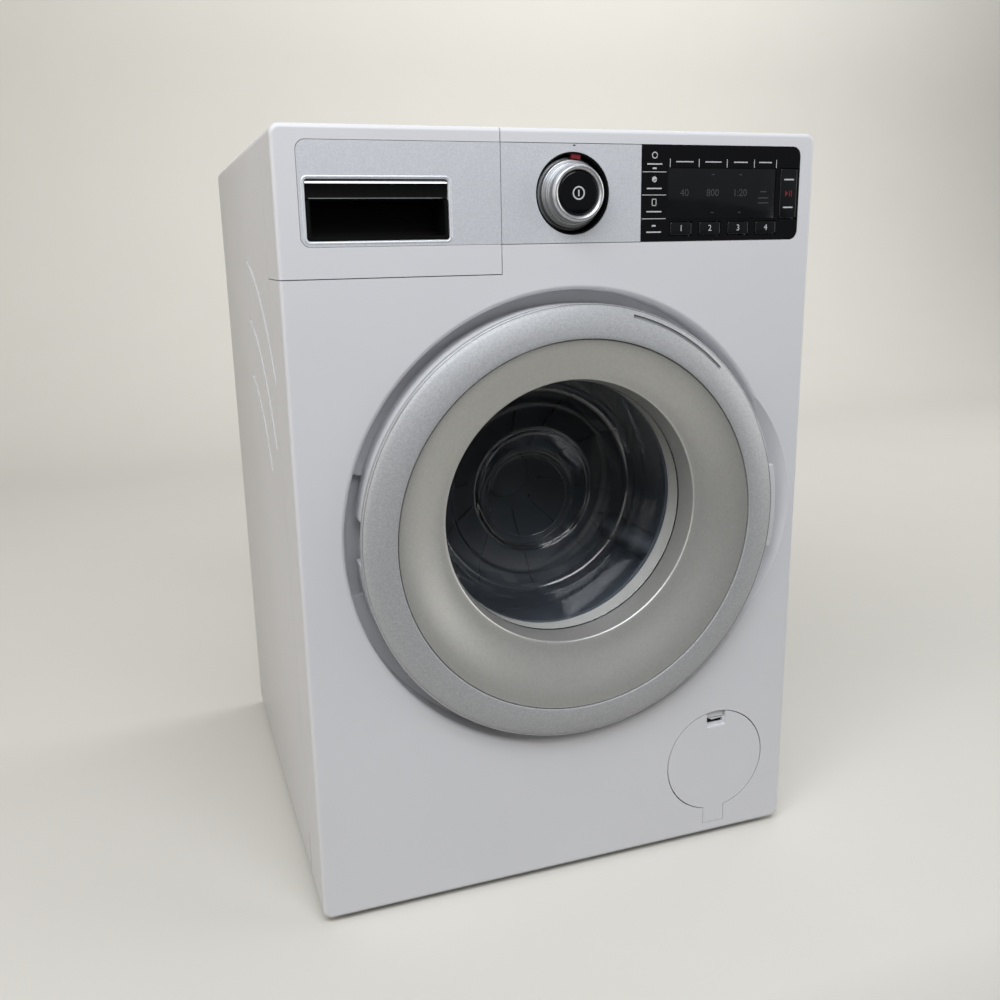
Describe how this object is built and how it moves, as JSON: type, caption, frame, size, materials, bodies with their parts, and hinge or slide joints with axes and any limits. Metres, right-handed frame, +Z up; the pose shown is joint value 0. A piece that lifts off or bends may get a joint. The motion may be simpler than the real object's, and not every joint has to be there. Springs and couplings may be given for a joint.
{
  "type": "toy washing machine",
  "caption": "Free-standing toy front-loader with a hinged porthole door, a gear-driven drum, a detergent drawer, a selector dial with keys, and a filter flap.",
  "frame": {"origin": "on the floor, in the middle of the space that the closed machine takes up", "axes": "+Z up, the front with the door faces -Y, +X to the right of someone who looks at the front"},
  "size_m": [0.182, 0.1958, 0.26],
  "materials": {
    "white_shell": "white ABS, satin gloss",
    "silver_paint": "silver lacquer with a fine sparkle, over plastic",
    "grey_paint": "warm grey lacquer, satin",
    "clear_smoke": "clear polystyrene with a light smoke tint, polished",
    "black_gloss": "black, high gloss",
    "charcoal": "charcoal, fine matt grain",
    "soft_grey": "light grey soft plastic, matt",
    "steel": "bright steel",
    "brass": "plain brass",
    "gear_plastic": "natural acetal, satin",
    "board_green": "circuit board with green lacquer",
    "foot_rubber": "grey rubber, matt",
    "dark_chrome": "dark bright plating",
    "cell_sleeve": "plain printed sleeve with no words"
  },
  "bodies": {
    "case": {"front_shell": "white_shell", "rear_shell": "white_shell", "foot_front_left": "foot_rubber", "foot_front_right": "foot_rubber", "foot_rear_left": "foot_rubber", "foot_rear_right": "foot_rubber", "case_screw_1": "steel", "case_screw_2": "steel", "case_screw_3": "steel", "case_screw_4": "steel", "battery_door": "white_shell", "battery_door_screw": "steel", "battery_1": "cell_sleeve", "battery_2": "cell_sleeve", "battery_3": "cell_sleeve", "battery_4": "cell_sleeve", "battery_contact_lower": "steel", "battery_contact_upper": "steel", "door_hinge_bracket": "charcoal", "door_catch": "charcoal", "door_gasket": "soft_grey", "drum_tub": "charcoal", "drum_bush": "brass", "gear_plate": "charcoal", "idler_pin": "steel", "drive_motor": "steel", "panel_fascia": "silver_paint", "display_panel": "black_gloss", "display_window": "black_gloss", "circuit_board": "board_green", "speaker": "charcoal", "dial_well": "black_gloss", "drawer_guide": "white_shell", "filter_housing": "white_shell", "filter_cap": "soft_grey"},
    "door": {"door_ring": "silver_paint", "door_inner_ring": "grey_paint", "door_bowl": "clear_smoke", "door_body": "white_shell", "door_hinge_pin": "steel"},
    "drum": {"drum": "charcoal", "drum_shaft": "steel", "drum_gear": "gear_plastic"},
    "idler": {"idler_gear": "gear_plastic"},
    "motor_rotor": {"motor_shaft": "steel", "motor_pinion": "brass"},
    "dial": {"selector_knob": "silver_paint"},
    "power": {"power_button": "black_gloss"},
    "start": {"start_button": "black_gloss"},
    "key_1": {"program_key_1": "black_gloss"},
    "key_2": {"program_key_2": "black_gloss"},
    "key_3": {"program_key_3": "black_gloss"},
    "key_4": {"program_key_4": "black_gloss"},
    "drawer": {"drawer_front": "white_shell", "drawer_fascia": "silver_paint", "handle_cup": "black_gloss", "handle_bar": "dark_chrome", "drawer_tray": "white_shell"},
    "flap": {"service_flap": "white_shell", "flap_pin": "steel"}
  },
  "joints": [
    {"name": "door_hinge", "type": "hinge", "parent": "case", "child": "door", "pos_m": [-0.068, -0.0906, 0.1344], "axis": [0, 0, -1], "range_deg": [0, 100]},
    {"name": "drum_spin", "type": "hinge", "parent": "case", "child": "drum", "pos_m": [0.0025, -0.04, 0.1364], "axis": [0, 1, 0], "continuous": true},
    {"name": "idler_spin", "type": "hinge", "parent": "case", "child": "idler", "pos_m": [0.0025, 0.004, 0.1064], "axis": [0, 1, 0], "continuous": true},
    {"name": "motor_spin", "type": "hinge", "parent": "case", "child": "motor_rotor", "pos_m": [0.01982, 0.01, 0.0964], "axis": [0, 1, 0], "continuous": true},
    {"name": "dial_turn", "type": "hinge", "parent": "case", "child": "dial", "pos_m": [0.0018, -0.0901, 0.2406], "axis": [0, 1, 0], "continuous": true},
    {"name": "power_press", "type": "slide", "parent": "dial", "child": "power", "axis": [0, 1, 0], "range_m": [0, 0.0008], "stiffness_N_per_m": 300},
    {"name": "start_press", "type": "slide", "parent": "case", "child": "start", "axis": [0, 1, 0], "range_m": [0, 0.0007], "stiffness_N_per_m": 300},
    {"name": "key_1_press", "type": "slide", "parent": "case", "child": "key_1", "axis": [0, 1, 0], "range_m": [0, 0.0007], "stiffness_N_per_m": 300},
    {"name": "key_2_press", "type": "slide", "parent": "case", "child": "key_2", "axis": [0, 1, 0], "range_m": [0, 0.0007], "stiffness_N_per_m": 300},
    {"name": "key_3_press", "type": "slide", "parent": "case", "child": "key_3", "axis": [0, 1, 0], "range_m": [0, 0.0007], "stiffness_N_per_m": 300},
    {"name": "key_4_press", "type": "slide", "parent": "case", "child": "key_4", "axis": [0, 1, 0], "range_m": [0, 0.0007], "stiffness_N_per_m": 300},
    {"name": "drawer_slide", "type": "slide", "parent": "case", "child": "drawer", "axis": [0, -1, 0], "range_m": [0, 0.06]},
    {"name": "flap_hinge", "type": "hinge", "parent": "case", "child": "flap", "pos_m": [0.0609, -0.0888, 0.009], "axis": [1, 0, 0], "range_deg": [0, 95]}
  ],
  "couplings": [
    {"joint": "idler_spin", "follows": "drum_spin", "ratio": -3},
    {"joint": "motor_spin", "follows": "drum_spin", "ratio": 9}
  ]
}
